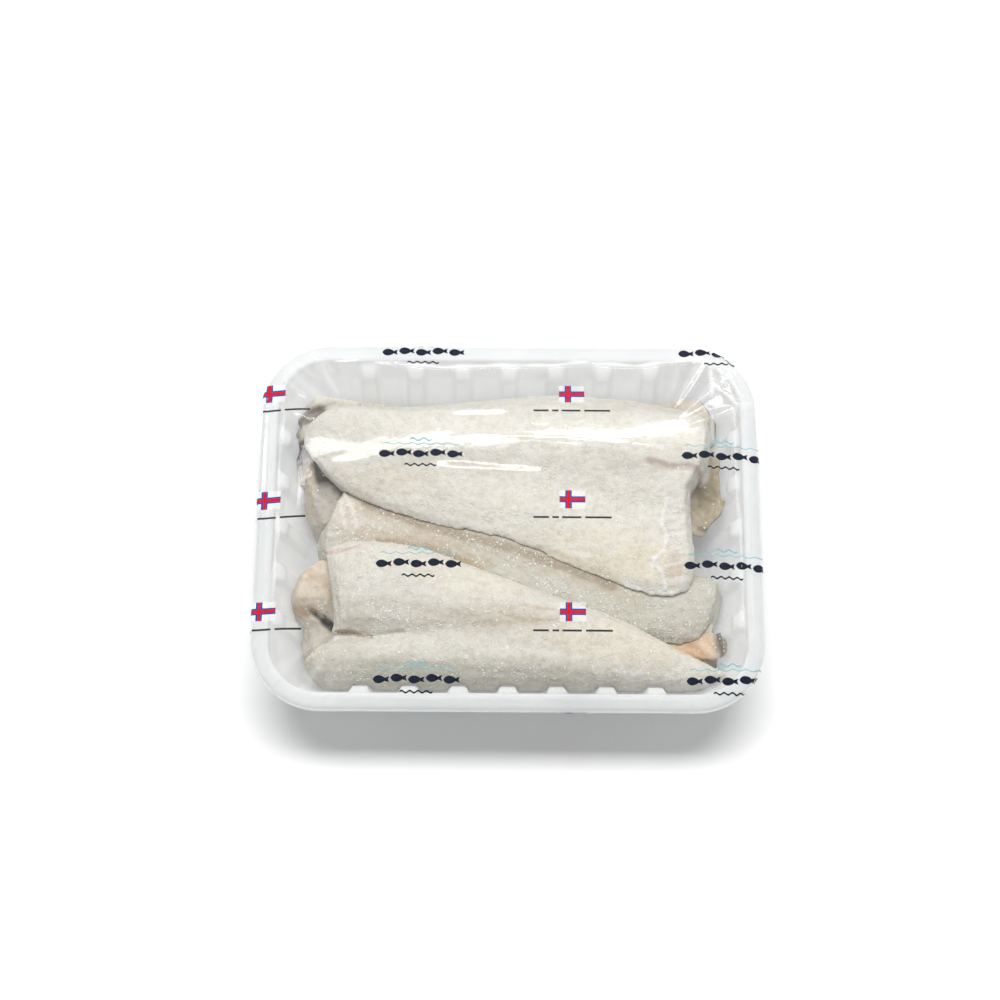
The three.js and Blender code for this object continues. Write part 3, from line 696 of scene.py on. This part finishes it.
# The look of each fillet: its ground colour, how salty and how lumpy it is, its patches of colour, some
# of them painted shade or painted light, the zones where fibres show, and its creases
fillets = {
    "fillet_upper_back": {
        "slot": "pale_flesh",
        "base": (234, 231, 223),
        "crust": 0.7,
        "lumps": 0.5,
        "patches": [
            roundPatch((0, 68), (110, 12), (222, 219, 210), 0.7),
            roundPatch((10, 10), (70, 16), (231, 228, 218), 0.6),
            roundPatch((58, 32), (42, 7), (225, 220, 211), 0.6),
            roundPatch((40, -12), (44, 12), (232, 225, 209), 0.6),
            roundPatch((66, -20), (24, 9), (234, 224, 201), 0.6),
            roundPatch((-62, 24), (30, 8), (229, 223, 208), 0.5),
            roundPatch((-72, 60), (34, 12), (224, 221, 212), 0.6),
            roundPatch((76, 66), (28, 8), (222, 214, 204), 0.6),
            # dark skin-side corner, deepened by painted shade where it lies between the fillets
            linePatch([(-107, 60), (-97, 70)], 3, (134, 127, 119), 0.95, wet=0.8),
            roundPatch((83, -21), (6, 7), (221, 205, 193), 0.7),
            linePatch([(-14, -6), (24, -16), (52, -27)], 3, (222, 208, 184), 0.5),
            # pale fringe along the lower edge: a white membrane, brightened as a painted highlight
            linePatch([(-100, 40), (-87, 25), (-70, 13), (-41, 2), (4, -10), (48, -27)],
                      1.1, (240, 237, 229), 0.5),
            linePatch([(70, 32), (80, 29), (90, 29.5), (96, 27)], 2.0, (190, 171, 160), 0.6),
            linePatch([(79, 13), (76, 2), (79, -6), (77, -13), (72, -17), (71, -22)],
                      1.0, (247, 246, 243), 0.95),
            linePatch([(72, -17), (76, -24), (78, -31)], 1.1, (246, 244, 241), 0.95),
            linePatch([(77, -16), (83, -12), (90, -9)], 0.7, (242, 239, 233), 0.6),
            linePatch([(75, -21), (83, -19), (90, -17)], 0.7, (242, 239, 233), 0.6),
            linePatch([(77, -27), (84, -26), (90, -24)], 0.7, (242, 239, 233), 0.6),
            linePatch([(58, -29), (66, -32), (74, -34), (84, -33), (90, -31)], 1.6, (246, 245, 242), 0.9),
        ],
        "fibres": [
            {"at": (86, -10), "reach": (10, 24), "along": (9, 2.2), "turn": 12, "depth": 0.09},
            {"at": (-10, 0), "reach": (90, 20), "along": (22, 4), "turn": -14, "depth": 0.05},
        ],
        "creases": [
            creaseAlong([(68, 32), (80, 29), (90, 29.5), (97, 27)], 1.4, 0.7),
            creaseAlong([(79, 13), (76, 2), (79, -6), (77, -13), (72, -17), (71, -22)], 0.8, -0.6),
            creaseAlong([(72, -17), (76, -24), (78, -31)], 0.8, -0.6),
            creaseAlong([(58, -30), (66, -33), (74, -35), (84, -34), (90, -32)], 1.1, -0.7),
            creaseAlong([(-100, 40), (-87, 25), (-70, 13), (-41, 2), (4, -10), (48, -27)], 1.4, -0.25),
        ],
    },
    "fillet_upper_front": {
        "slot": "pale_flesh",
        "base": (225, 222, 213),
        "crust": 0.9,
        "lumps": 0.55,
        "patches": [
            roundPatch((-60, -20), (34, 10), (229, 224, 215), 0.7),
            roundPatch((-10, -28), (34, 8), (233, 228, 214), 0.6),
            roundPatch((-58, -46), (34, 8), (212, 206, 194), 0.6),
            roundPatch((-4, -49), (36, 8), (208, 199, 184), 0.65),
            roundPatch((58, -60), (40, 12), (234, 225, 208), 0.6),
            roundPatch((-20, -75), (75, 8), (196, 192, 178), 0.7),
            roundPatch((-84, -66), (14, 6), (207, 203, 190), 0.7),
            linePatch([(-94, -11), (-88, -13.5), (-81, -12)], 1.4, (220, 196, 186), 0.7),
            linePatch([(-84, -14), (-79, -12), (-74, -9)], 1.0, (210, 184, 172), 0.6),
            linePatch([(-85, -54), (-77, -54), (-67, -56)], 0.9, (166, 141, 115), 0.8),
            linePatch([(-4, -46), (10, -50), (24, -49)], 0.9, (190, 168, 142), 0.5),
            linePatch([(6, -42), (22, -44), (34, -43)], 0.7, (196, 176, 152), 0.45),
            linePatch([(-45, -9), (-17, -19), (21, -33), (58, -47), (86, -62)],
                      1.0, (244, 242, 236), 0.7),
            roundPatch((-98, -68), (3.5, 5), (226, 213, 194), 0.8),
        ],
        "fibres": [
            {"at": (-78, -34), "reach": (16, 24), "along": (1.6, 14), "turn": 4, "depth": 0.15},
            {"at": (-20, -72), "reach": (95, 9), "along": (16, 3), "turn": 0, "depth": 0.06},
        ],
        "creases": [
            creaseAlong([(-94, -11), (-88, -13.5), (-81, -12), (-74, -9)], 0.9, 0.5),
            creaseAlong([(-88, -55), (-77, -54.5), (-67, -56), (-52, -55)], 1.0, 1.5),
            creaseAlong([(-52, -55), (-20, -54), (12, -52)], 3.0, 0.5),
            creaseAlong([(-84, -20), (-83, -36), (-82, -52)], 0.7, -0.25),
            creaseAlong([(-78, -18), (-77, -36), (-76, -50)], 0.6, -0.2),
            creaseAlong([(-88, -24), (-87, -40), (-86, -54)], 0.8, -0.3),
        ],
    },
    "fillet_middle": {
        "slot": "grey_flesh",
        "base": (212, 209, 197),
        "crust": 1.0,
        "lumps": 0.6,
        "patches": [
            roundPatch((-72, 12), (22, 15), (226, 215, 204), 0.85),
            roundPatch((-40, 0), (26, 9), (217, 206, 193), 0.7),
            roundPatch((66, -42), (50, 14), (209, 206, 194), 0.6),
            # painted shade along the edge where the upper front fillet lies over this one
            linePatch([(-74, -3), (-54, -5), (-34, -9), (-12, -19)], 4.5, (205, 190, 168), 0.6),
            linePatch([(-66, -6), (-54, -7), (-34, -11), (-16, -19)], 2.2, (178, 158, 132), 0.75),
            # painted shadow under the upper back fillet's overhanging lower edge
            linePatch([(-72, 14), (-41, 2), (4, -11), (42, -25), (60, -33)], 5.5, (202, 190, 172), 0.6),
            linePatch([(-72, 14), (-41, 2), (4, -11), (42, -25), (52, -29)], 2.4, (162, 144, 124), 0.65),
            linePatch([(-90, 25), (-85, 14), (-82, 2)], 1.0, (242, 236, 230), 0.8),
            linePatch([(-84, 23), (-79, 12), (-76, 2)], 0.8, (242, 236, 230), 0.7),
        ],
        "fibres": [
            {"at": (-76, 10), "reach": (17, 16), "along": (1.6, 12), "turn": -14, "depth": 0.15},
        ],
        "creases": [
            creaseAlong([(-90, 25), (-85, 14), (-82, 2)], 0.8, -0.3),
            creaseAlong([(-84, 23), (-79, 12), (-76, 2)], 0.7, -0.25),
        ],
    },
    "fillet_under_back": {
        "slot": "skin_and_flesh",
        "base": (206, 199, 188),
        "crust": 0.25,
        "lumps": 0.5,
        "patches": [
            roundPatch((-96, 76), (22, 10), (227, 224, 213), 0.95),
            # dark skin, deepened by painted shade where it lies under the upper fillet's corner
            linePatch([(-114, 57), (-105, 60), (-97, 64)], 4, (136, 128, 120), 1.0, wet=0.9),
            linePatch([(-113, 54), (-110, 47)], 5, (144, 137, 128), 0.9, wet=0.8),
            linePatch([(-106, 43), (-101, 34), (-95, 27), (-88, 22)], 5.5, (86, 78, 74), 1.0, wet=0.9),
            roundPatch((-93, 18), (9, 8), (190, 185, 178), 0.8, wet=0.7),
            roundPatch((-103, 22), (5, 14), (212, 200, 185), 0.85),
            roundPatch((103, 18), (12, 26), (172, 160, 137), 1.0, wet=0.95),
            roundPatch((100, 22), (6, 8), (132, 120, 100), 0.75, wet=0.95),
            roundPatch((106, 14), (3, 4), (190, 180, 160), 0.6, wet=0.95),
            linePatch([(108, 44), (111, 34), (113, 21), (109, 12), (102, 3), (97, 4)],
                      1.3, (112, 103, 90), 0.8, wet=0.9),
            # painted light: a near-white patch that lifts the shade in the hollow right of the upper
            # fillet's end
            roundPatch((98, 35), (4.5, 6.5), (222, 222, 219), 1.0),
            roundPatch((102, 62), (8, 13), (224, 212, 196), 0.85),
            linePatch([(92, 76), (101, 74), (108, 65), (109, 55)], 2.4, (92, 84, 78), 0.9, wet=0.8),
        ],
        "fibres": [
            {"at": (-102, 20), "reach": (9, 18), "along": (1.6, 10), "turn": 10, "depth": 0.12},
        ],
        "creases": [
            creaseAlong([(-112, 58), (-100, 63), (-90, 68)], 1.6, 1.2),
            creaseAlong([(101, 34), (104, 22), (103, 10)], 2.0, 0.5),
            creaseAlong([(108, 32), (107, 20), (104, 8)], 1.2, -0.5),
        ],
    },
    "fillet_under_front": {
        "slot": "skin_and_flesh",
        "base": (210, 201, 187),
        "crust": 0.45,
        "lumps": 0.7,
        "patches": [
            roundPatch((-101, -26), (15, 13), (226, 213, 195), 0.9),
            linePatch([(-113, -36), (-106, -40), (-98, -40)], 2.4, (196, 168, 140), 0.7),
            linePatch([(-102, -20), (-92, -26), (-87, -36)], 2.4, (205, 183, 160), 0.6),
            # painted shade: near-black lines inside the slit
            linePatch([(-97, -41), (-91, -45)], 1.0, (58, 50, 46), 0.9, wet=0.8),
            linePatch([(-92, -44.5), (-86, -49)], 1.9, (34, 29, 28), 1.0, wet=0.8),
            roundPatch((-99, -54), (9, 9), (190, 183, 170), 0.85, wet=0.6),
            roundPatch((-104, -68), (6, 6), (152, 134, 121), 0.9, wet=0.95),
            roundPatch((94, -57), (12, 7), (226, 192, 158), 0.95),
            linePatch([(88, -54), (96, -60), (102, -64)], 1.4, (196, 154, 126), 0.6),
            roundPatch((107, -56), (5, 12), (152, 144, 130), 1.0, wet=0.8),
            linePatch([(104, -48), (106, -58), (106, -66)], 1.1, (92, 84, 74), 0.8, wet=0.8),
        ],
        "fibres": [],
        "creases": [
            creaseAlong([(-98, -41), (-92, -44.5), (-85, -50)], 1.5, 2.2),
            creaseAlong([(-108, -24), (-98, -20), (-90, -22)], 2.5, 0.6),
        ],
    },
}

filletForm = {
    "voxel": 0.9,
    "softenSteps": 10,
    "lumpSize": 7,
    "lumpHeight": 0.5,
    "grainSize": 2.4,
    "grainHeight": 0.6,
    "fibreFull": 0.2,  # the depth at which fibres show at full strength in the material
    "wet": 0.25,
}


def turned(x, y, centre, degrees):
    # the places in a frame that is turned about its own centre
    cos, sin = math.cos(math.radians(degrees)), math.sin(math.radians(degrees))
    return (x - centre[0]) * cos + (y - centre[1]) * sin, (y - centre[1]) * cos - (x - centre[0]) * sin


def howNear(x, y, patch):
    # 0 in the middle of a patch and 1 at its reach
    if "line" in patch:
        return awayFromLine(x, y, patch["line"]) / patch["reach"][0]
    return np.hypot((x - patch["at"][0]) / patch["reach"][0], (y - patch["at"][1]) / patch["reach"][1])


def paintFillet(mesh, form):
    spots = readPoints(mesh)
    x, y = spots[:, 0], spots[:, 1]
    tintAndShade = np.tile(screenColour(*form["base"]), (len(spots), 1))
    wet = np.full(len(spots), filletForm["wet"])
    crust = form["crust"] * smoothStep(-0.5, 0.35, roughly(spots, (12, 12, 12), 9))
    ragged = 0.3 * roughly(spots, (8, 8, 8), 3) + 0.2 * roughly(spots, (2.2, 2.2, 2.2), 5)
    for patch in form["patches"]:
        share = patch["cover"] * smoothStep(1.35, 0.55, howNear(x, y, patch) + ragged)
        tintAndShade += (np.array(screenColour(*patch["colour"])) - tintAndShade) * share[:, None]
        if patch["wet"] is not None:
            wet += (patch["wet"] - wet) * share
            crust *= 1 - share
    colours = mesh.color_attributes.new("tintAndShade", "FLOAT_COLOR", "POINT")
    values = np.column_stack([tintAndShade, np.ones(len(tintAndShade))]).astype(np.float32)
    colours.data.foreach_set("color", values.ravel())
    addLayer(mesh, "wet", wet)
    addLayer(mesh, "crust", crust)


def roughenFillet(mesh, form):
    # lumps all over, fibres in their zones, and the creases
    spots, normals = readPoints(mesh), readNormals(mesh)
    x, y = spots[:, 0], spots[:, 1]
    lumps = filletForm["lumpHeight"] * roughly(spots, [filletForm["lumpSize"]] * 3, 2)
    grain = filletForm["grainHeight"] * roughly(spots, [filletForm["grainSize"]] * 3, 7)
    height = form["lumps"] * (lumps + grain)
    fibres = np.zeros(len(spots))
    for zone in form["fibres"]:
        inside = smoothStep(1.3, 0.7, howNear(x, y, zone))
        along, across = turned(x, y, zone["at"], zone["turn"])
        strands = roughly(np.column_stack([along, across, spots[:, 2]]), (*zone["along"], 8), 1)
        fibres += strands * inside * zone["depth"] / filletForm["fibreFull"]
        height += zone["depth"] * strands * inside
    wander = 0.5 * roughly(spots, (5, 5, 5), 13)
    for crease in form["creases"]:
        height -= crease["depth"] * ridge(awayFromLine(x, y, crease["line"]) + wander, crease["width"])
    writePoints(mesh, spots + normals * height[:, None])
    addLayer(mesh, "fibres", fibres)


def makeFillet(node):
    form = fillets[node]
    work = bmesh.new()
    work.from_mesh(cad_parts[node].data)
    bmesh.ops.remove_doubles(work, verts=work.verts, dist=mergeWithin * mm)
    name = node.replace("_", " ").title().replace(" ", "")
    name = name[0].lower() + name[1:]
    piece = addPiece(name, meshFrom(work, name), fleshMaterial(name + "Flesh"), [node])
    remesh = piece.modifiers.new("fine", "REMESH")
    remesh.mode = "VOXEL"
    remesh.voxel_size = filletForm["voxel"] * mm
    soften = piece.modifiers.new("soften", "SMOOTH")
    soften.factor = 0.5
    soften.iterations = filletForm["softenSteps"]
    mesh = applyModifiers(piece)
    mesh.shade_smooth()
    roughenFillet(mesh, form)
    paintFillet(mesh, form)
    print(node, "has", len(mesh.polygons), "faces")
    return piece


# Salt

salt = {
    "count": 9000,
    "seed": 11,
    "size": (0.16, 0.72),  # half the length of a grain; most are near the small end
    "width": (0.6, 1),  # shares of the length
    "height": (0.35, 0.55),
    "leastUp": 0.35,  # grains lie only where the flesh faces up at least this much
    "shares": {
        "fillet_middle": 1.0,
        "fillet_upper_front": 0.6,
        "fillet_upper_back": 0.3,
        "fillet_under_back": 0.12,
        "fillet_under_front": 0.25,
    },
    "thickest": {"at": (-56, -45), "reach": (30, 12)},
    "thickestGain": 3.5,
}


def readFaces(mesh):
    # the middle, the way out and the area of each face
    count = len(mesh.polygons)
    centres, facings, areas = np.empty(count * 3), np.empty(count * 3), np.empty(count)
    mesh.polygons.foreach_get("center", centres)
    mesh.polygons.foreach_get("normal", facings)
    mesh.polygons.foreach_get("area", areas)
    return centres.reshape(-1, 3) / mm, facings.reshape(-1, 3), areas


def saltiness(node, centres, facings, areas):
    # how likely each face of a fillet is to carry a grain
    near = howNear(centres[:, 0], centres[:, 1], salt["thickest"])
    heavy = 1 + salt["thickestGain"] * ridge(near, 1)
    clump = smoothStep(-0.4, 0.5, roughly(centres, (7, 7, 7), 21))
    return areas * clump * heavy * (facings[:, 2] > salt["leastUp"]) * salt["shares"][node]


def makeGrain():
    work = bmesh.new()
    bmesh.ops.create_icosphere(work, subdivisions=1, radius=1)
    grain = meshFrom(work, "grain")
    points = readPoints(grain) * mm
    faces = np.array([face.vertices[:] for face in grain.polygons])
    bpy.data.meshes.remove(grain)
    return points, faces


def makeSalt(pieces):
    # low crystals half sunk in the flesh, thickest on the middle fillet
    draw = np.random.default_rng(salt["seed"])
    grainPoints, grainFaces = makeGrain()
    fields = {node: readFaces(piece.data) for node, piece in pieces.items()}
    centres = np.concatenate([field[0] for field in fields.values()])
    facings = np.concatenate([field[1] for field in fields.values()])
    weights = np.concatenate([saltiness(node, *field) for node, field in fields.items()])
    share = weights / weights.sum()
    chosen = draw.choice(len(centres), salt["count"], replace=False, p=share)
    least, most = salt["size"]
    points = []
    for spot, facing in zip(centres[chosen], facings[chosen]):
        length = least + (most - least) * draw.uniform() ** 3
        shape = length * np.array([1, draw.uniform(*salt["width"]), draw.uniform(*salt["height"])])
        spin = Matrix.Rotation(draw.uniform(0, math.tau), 3, "Z")
        turn = Vector(facing).to_track_quat("Z", "Y").to_matrix() @ spin
        points.append((grainPoints * shape) @ np.array(turn).T + spot)
    firsts = np.arange(salt["count"])[:, None, None] * len(grainPoints)
    faces = (grainFaces[None] + firsts).reshape(-1, 3)
    mesh = bpy.data.meshes.new("saltGrains")
    mesh.from_pydata((np.concatenate(points) * mm).tolist(), [], faces.tolist())
    mesh.shade_flat()
    return addPiece("saltGrains", mesh, saltMaterial())


# The film's print: a flag and a line of dashes by turns with a shoal of small fish, over and over

marks = {
    "columnPeriod": 151,
    "rowPeriod": 57.5,
    "flagAt": (31.5, 9.9),
    "flagSize": (12.8, 9.5),
    "crossAt": -1.9,  # the upright of the cross, from the flag's middle
    "cross": (("Blue", 3.2, 1.6), ("Red", 1.5, 2.2)),  # ink, thickness and how it is stacked
    "dashes": [(-19.3, 7.6), (-9.9, 3.2), (-5.1, 9.4), (6.3, 13.0)],  # start and length of each dash
    "dashHeight": 1.0,
    "dashesAt": -9.3,  # up from the flag's middle
    "fishRowAt": (-44, 34),
    "fishSize": (8.0, 3.6),
    "fishGap": 0.5,
    "fishInRow": 5,
    "waves": [  # ink, how far up from the row of fish, length, thickness, swing and number of waves
        ("Teal", 5.2, 38, 0.5, 0.45, 6), ("Teal", 7.6, 11, 0.9, 0.7, 2), ("Navy", -6.2, 16, 0.9, 0.5, 4),
    ],
    "raised": 0.1,
    "leftAtFoot": 9,
    "leftAtCorner": 40,
}

inks = {  # screen colour and cover
    "White": ((238, 240, 244), 0.4),
    "Blue": ((0, 74, 148), 1),
    "Red": ((206, 12, 24), 1),
    "Navy": ((18, 26, 44), 1),
    "Teal": ((104, 172, 180), 0.75),
    "Grey": ((48, 52, 56), 1),
}


def patchOnFilm(work, centre, size, raised, cells=(8, 6)):
    # a small rectangle of ink that follows the film
    made = bmesh.ops.create_grid(work, x_segments=cells[0], y_segments=cells[1], size=1)["verts"]
    spots = np.array([v.co[:2] for v in made]) * (size[0] / 2, size[1] / 2) + centre
    for v, spot in zip(made, ontoFilm(spots[:, 0], spots[:, 1], raised)):
        v.co = spot * mm


def shapeOnFilm(work, centre, outline, raised):
    # a small shape of ink, as a fan of triangles about its own middle
    spots = np.vstack([np.mean(outline, axis=0), outline]) + centre
    made = [work.verts.new(spot * mm) for spot in ontoFilm(spots[:, 0], spots[:, 1], raised)]
    for i in range(len(outline)):
        work.faces.new((made[0], made[1 + i], made[1 + (i + 1) % len(outline)]))


def fishOutline(length, height):
    # body from the nose back to the tail's root, then the forked tail
    steps = np.linspace(0, 1, 9)
    half = height / 2 * np.sin(np.pi * steps ** 0.8) ** 0.8 + 0.12 * height * steps
    x = -length / 2 + 0.78 * length * steps
    tail = np.array([(length / 2, height * 0.42), (length * 0.43, 0), (length / 2, -height * 0.42)])
    return np.vstack([np.column_stack([x, half]), tail, np.column_stack([x, -half])[:0:-1]])


def waveOnFilm(work, centre, length, thick, swing, waves, raised):
    # a thin wavy line of ink
    x = np.linspace(-length / 2, length / 2, 12 * waves + 1)
    y = swing * np.sin(np.linspace(0, math.tau * waves, len(x)))
    edges = [ontoFilm(x + centre[0], y + centre[1] + side * thick / 2, raised) for side in (-1, 1)]
    rows = [[work.verts.new(spot * mm) for spot in edge] for edge in edges]
    for i in range(len(x) - 1):
        work.faces.new((rows[0][i], rows[0][i + 1], rows[1][i + 1], rows[1][i]))


def printFlag(layers, x, y):
    width, height = marks["flagSize"]
    up = marks["raised"]
    patchOnFilm(layers["White"], (x, y), (width, height), up)
    for name, thick, lift in marks["cross"]:
        patchOnFilm(layers[name], (x, y), (width, thick), up * lift, (8, 2))
        patchOnFilm(layers[name], (x + marks["crossAt"], y), (thick, height), up * lift * 1.05, (2, 6))
    for start, length in marks["dashes"]:
        middle = (x + start + length / 2, y + marks["dashesAt"])
        patchOnFilm(layers["Grey"], middle, (length, marks["dashHeight"]), up, (8, 2))


def printShoal(layers, x, y):
    length, height = marks["fishSize"]
    up = marks["raised"]
    for i in range(marks["fishInRow"]):
        along = (i - (marks["fishInRow"] - 1) / 2) * (length + marks["fishGap"])
        middle = (x + along, y + (0.5 if i % 2 else -0.3))
        shapeOnFilm(layers["Navy"], middle, fishOutline(length, height), up)
    for ink, rise, *form in marks["waves"]:
        waveOnFilm(layers[ink], (x, y + rise), *form, up)


def onPack(x, y):
    # marks are left off near the pack's foot, and low on its rounded corners
    over, outX, outY = overEdge(np.array([x]), np.array([y]))
    least = marks["leftAtCorner"] if abs(outX[0] * outY[0]) > 0.1 else marks["leftAtFoot"]
    return over[0] < sideLengths()[-1] - least


def makePrint():
    layers = {name: bmesh.new() for name in inks}
    for column in (-1, 0, 1):
        for row in range(-3, 4):
            for draw, at in ((printFlag, "flagAt"), (printShoal, "fishRowAt")):
                x = marks[at][0] + column * marks["columnPeriod"]
                y = marks[at][1] + row * marks["rowPeriod"]
                if onPack(x, y):
                    draw(layers, x, y)
    for name, work in layers.items():
        colour, cover = inks[name]
        material = inkMaterial("ink" + name, screenColour(*colour), cover)
        piece = addPiece("print" + name, meshFrom(work, "print" + name), material)
        piece.visible_shadow = False  # ink this thin, this close to the fish, throws no shadow of its own


# The surroundings

studio = {
    "floorSize": 6.0,
    "floorGap": 0.0002,
    "worldLevel": 0.33,
    # the key only lights: the strip and the two side lights are what shines back from the film
    "key": {"at": (0.0, 1.2, 3.8), "size": (3.4, 1.0), "power": 139, "shines": False},
    "strip": {"at": (0.0, 0.626, 1.15), "size": (1.3, 0.07), "turn": 14, "power": 2.4, "shines": True},
    "left": {"at": (-1.3, 0.2, 0.8), "size": (1.2, 0.25), "power": 1.3, "shines": True},
    "right": {"at": (1.3, 0.2, 0.8), "size": (1.2, 0.25), "power": 1.3, "shines": True},
    "cameraAt": (-0.0019, -0.3345, 0.996),
    "cameraDown": 70.0,
    "cameraTurn": -0.4,
    "lens": 73.2,
    "sensorWidth": 36,
    "floorShade": (0.98, 0.98, 0.98, 1),
    "lightsAim": (0, 0, 0.04),
}


def addLight(name):
    spec = studio[name]
    light = bpy.data.lights.new(name, "AREA")
    light.shape = "RECTANGLE"
    light.size, light.size_y = spec["size"]
    light.energy = spec["power"]
    lamp = bpy.data.objects.new(name, light)
    scene.collection.objects.link(lamp)
    lamp.location = spec["at"]
    facing = (Vector(studio["lightsAim"]) - Vector(spec["at"])).to_track_quat("-Z", "Y").to_matrix()
    lamp.rotation_euler = (facing @ Matrix.Rotation(math.radians(spec.get("turn", 0)), 3, "Z")).to_euler()
    lamp.visible_glossy = spec["shines"]


def makeStudio():
    work = bmesh.new()
    bmesh.ops.create_grid(work, x_segments=2, y_segments=2, size=studio["floorSize"] / 2)
    bmesh.ops.translate(work, verts=work.verts, vec=(0, 0, -studio["floorGap"]))
    floor = bpy.data.objects.new("floor", meshFrom(work, "floor"))
    scene.collection.objects.link(floor)
    material, nodes, links, shader = newMaterial("paleFloor")
    shader.inputs["Base Color"].default_value = studio["floorShade"]
    shader.inputs["Roughness"].default_value = 0.6
    floor.data.materials.append(material)
    world = bpy.data.worlds.new("softRoom")
    scene.world = world
    world.use_nodes = True
    room = world.node_tree.nodes["Background"]
    room.inputs["Color"].default_value = (1, 1, 1, 1)
    room.inputs["Strength"].default_value = studio["worldLevel"]
    for name in ("key", "strip", "left", "right"):
        addLight(name)
    scene.view_settings.view_transform = "Standard"


def makeCamera():
    data = bpy.data.cameras.new("camera")
    data.lens = studio["lens"]
    data.sensor_width = studio["sensorWidth"]
    camera = bpy.data.objects.new("camera", data)
    scene.collection.objects.link(camera)
    camera.location = studio["cameraAt"]
    tilt = math.radians(90 - studio["cameraDown"])
    camera.rotation_euler = (tilt, 0, -math.radians(studio["cameraTurn"]))
    scene.camera = camera


makeCamera()
makeStudio()
print("studio made")
makeTray()
print("tray made")
filletPieces = {node: makeFillet(node) for node in fillets}
print("fillets made")
makeSalt(filletPieces)
print("salt made")
makeFilm()
print("film made")
makePrint()
print("print made")
